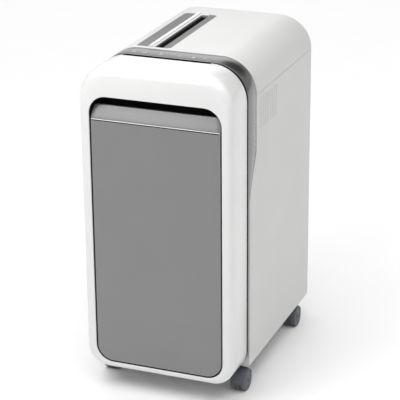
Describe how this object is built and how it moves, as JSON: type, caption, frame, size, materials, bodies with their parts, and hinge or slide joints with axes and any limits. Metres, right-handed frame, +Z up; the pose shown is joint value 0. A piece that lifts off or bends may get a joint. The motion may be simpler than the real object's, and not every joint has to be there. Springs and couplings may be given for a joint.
{
  "type": "paper shredder",
  "caption": "Tall office paper shredder on swivel casters: end-on paper slot in the top, silver trim band, grey pull-out bin with a finger pocket.",
  "frame": {"origin": "floor level under the middle of the cabinet, where the caster wheels rest", "axes": "+Z up; the bin opens towards -Y, which is the front; +X is the right-hand side seen from the front"},
  "size_m": [0.294, 0.456, 0.644],
  "materials": {
    "white_shell": "semi-gloss moulded",
    "satin_trim": "satin silver",
    "bin_grey": "satin grey",
    "throat_dark": "matte, fine ribs",
    "guide_white": "gloss",
    "lens_black": "gloss",
    "icon_lens": "gloss",
    "black_plastic": "moulded",
    "nylon": "moulded",
    "cutter_steel": "ground",
    "zinc_plate": "zinc plated",
    "motor_paint": "semi-gloss",
    "brass_bush": "machined",
    "board_green": "solder mask",
    "fork_slate": "moulded",
    "tyre_slate": "moulded"
  },
  "bodies": {
    "cabinet": {"top_cover": "white_shell", "side_panel_left": "white_shell", "side_panel_right": "white_shell", "rear_panel": "white_shell", "base_tray": "white_shell", "front_bezel": "white_shell", "trim_band": "satin_trim", "throat_plate": "throat_dark", "scraper_comb_left": "throat_dark", "scraper_comb_right": "throat_dark", "paper_guide": "guide_white", "status_lens": "lens_black", "touch_icons": "icon_lens", "groove_ring": "black_plastic", "throat_chute": "black_plastic", "power_inlet": "black_plastic", "switch_housing": "black_plastic", "interlock_switch": "black_plastic", "sensor_bracket": "nylon", "bin_runners": "nylon", "caster_sockets": "nylon", "cutter_plate_front": "cutter_steel", "cutter_plate_rear": "cutter_steel", "tie_rods": "cutter_steel", "idler_pin": "cutter_steel", "frame_left": "zinc_plate", "frame_right": "zinc_plate", "deck": "zinc_plate", "motor_cradle": "zinc_plate", "case_screws": "zinc_plate", "mechanism_screws": "zinc_plate", "motor_can": "motor_paint", "cutter_bearings": "brass_bush", "touch_board": "board_green", "control_board": "board_green", "power_board": "board_green"},
    "bin": {"bin_tub": "bin_grey", "bin_front": "bin_grey", "bin_screws": "zinc_plate"},
    "cutter_left": {"cutter_shaft_left": "cutter_steel", "sync_gear_left": "cutter_steel"},
    "cutter_right": {"cutter_shaft_right": "cutter_steel", "sync_gear_right": "cutter_steel", "drive_gear": "cutter_steel"},
    "idler": {"idler_gear": "nylon"},
    "motor_rotor": {"motor_shaft": "cutter_steel", "motor_pinion": "brass_bush", "motor_fan": "black_plastic"},
    "paper_sensor": {"sensor_lever": "black_plastic"},
    "interlock": {"interlock_plunger": "nylon"},
    "power_rocker": {"rocker": "black_plastic"},
    "caster_fl": {"caster_fork_fl": "fork_slate"},
    "wheels_fl": {"caster_wheels_fl": "tyre_slate"},
    "caster_fr": {"caster_fork_fr": "fork_slate"},
    "wheels_fr": {"caster_wheels_fr": "tyre_slate"},
    "caster_rl": {"caster_fork_rl": "fork_slate"},
    "wheels_rl": {"caster_wheels_rl": "tyre_slate"},
    "caster_rr": {"caster_fork_rr": "fork_slate"},
    "wheels_rr": {"caster_wheels_rr": "tyre_slate"}
  },
  "joints": [
    {"name": "bin_slide", "type": "slide", "parent": "cabinet", "child": "bin", "axis": [0, -1, 0], "range_m": [0, 0.36]},
    {"name": "cutter_right_spin", "type": "hinge", "parent": "cabinet", "child": "cutter_right", "pos_m": [-0.029, 0.0274, 0.536], "axis": [0, 1, 0], "continuous": true},
    {"name": "cutter_left_spin", "type": "hinge", "parent": "cabinet", "child": "cutter_left", "pos_m": [-0.065, 0.0274, 0.536], "axis": [0, 1, 0], "continuous": true},
    {"name": "idler_spin", "type": "hinge", "parent": "cabinet", "child": "idler", "pos_m": [0.00906, 0.1444, 0.52215], "axis": [0, 1, 0], "continuous": true},
    {"name": "motor_spin", "type": "hinge", "parent": "cabinet", "child": "motor_rotor", "pos_m": [0.05252, 0.1444, 0.5338], "axis": [0, 1, 0], "continuous": true},
    {"name": "paper_sensor_swing", "type": "hinge", "parent": "cabinet", "child": "paper_sensor", "pos_m": [-0.023, 0.0274, 0.6032], "axis": [0, -1, 0], "range_deg": [0, 30], "stiffness_Nm_per_rad": 0.004, "springref_deg": -17.19},
    {"name": "interlock_press", "type": "slide", "parent": "cabinet", "child": "interlock", "axis": [0, 1, 0], "range_m": [0, 0.003], "stiffness_N_per_m": 150, "springref_m": -0.002},
    {"name": "rocker_tilt", "type": "hinge", "parent": "cabinet", "child": "power_rocker", "pos_m": [0.06, 0.2236, 0.503], "axis": [1, 0, 0], "range_deg": [-6, 6]},
    {"name": "swivel_fl", "type": "hinge", "parent": "cabinet", "child": "caster_fl", "pos_m": [-0.131, -0.124, 0.044], "axis": [0, 0, 1], "continuous": true},
    {"name": "roll_fl", "type": "hinge", "parent": "caster_fl", "child": "wheels_fl", "pos_m": [-0.131, -0.14, 0.02], "axis": [1, 0, 0], "continuous": true},
    {"name": "swivel_fr", "type": "hinge", "parent": "cabinet", "child": "caster_fr", "pos_m": [0.131, -0.124, 0.044], "axis": [0, 0, 1], "continuous": true},
    {"name": "roll_fr", "type": "hinge", "parent": "caster_fr", "child": "wheels_fr", "pos_m": [0.131, -0.14, 0.02], "axis": [1, 0, 0], "continuous": true},
    {"name": "swivel_rl", "type": "hinge", "parent": "cabinet", "child": "caster_rl", "pos_m": [-0.131, 0.174, 0.044], "axis": [0, 0, 1], "continuous": true},
    {"name": "roll_rl", "type": "hinge", "parent": "caster_rl", "child": "wheels_rl", "pos_m": [-0.131, 0.158, 0.02], "axis": [1, 0, 0], "continuous": true},
    {"name": "swivel_rr", "type": "hinge", "parent": "cabinet", "child": "caster_rr", "pos_m": [0.131, 0.174, 0.044], "axis": [0, 0, 1], "continuous": true},
    {"name": "roll_rr", "type": "hinge", "parent": "caster_rr", "child": "wheels_rr", "pos_m": [0.131, 0.158, 0.02], "axis": [1, 0, 0], "continuous": true}
  ],
  "couplings": [
    {"joint": "cutter_left_spin", "follows": "cutter_right_spin", "ratio": -1},
    {"joint": "idler_spin", "follows": "cutter_right_spin", "ratio": -2},
    {"joint": "motor_spin", "follows": "cutter_right_spin", "ratio": 6}
  ]
}
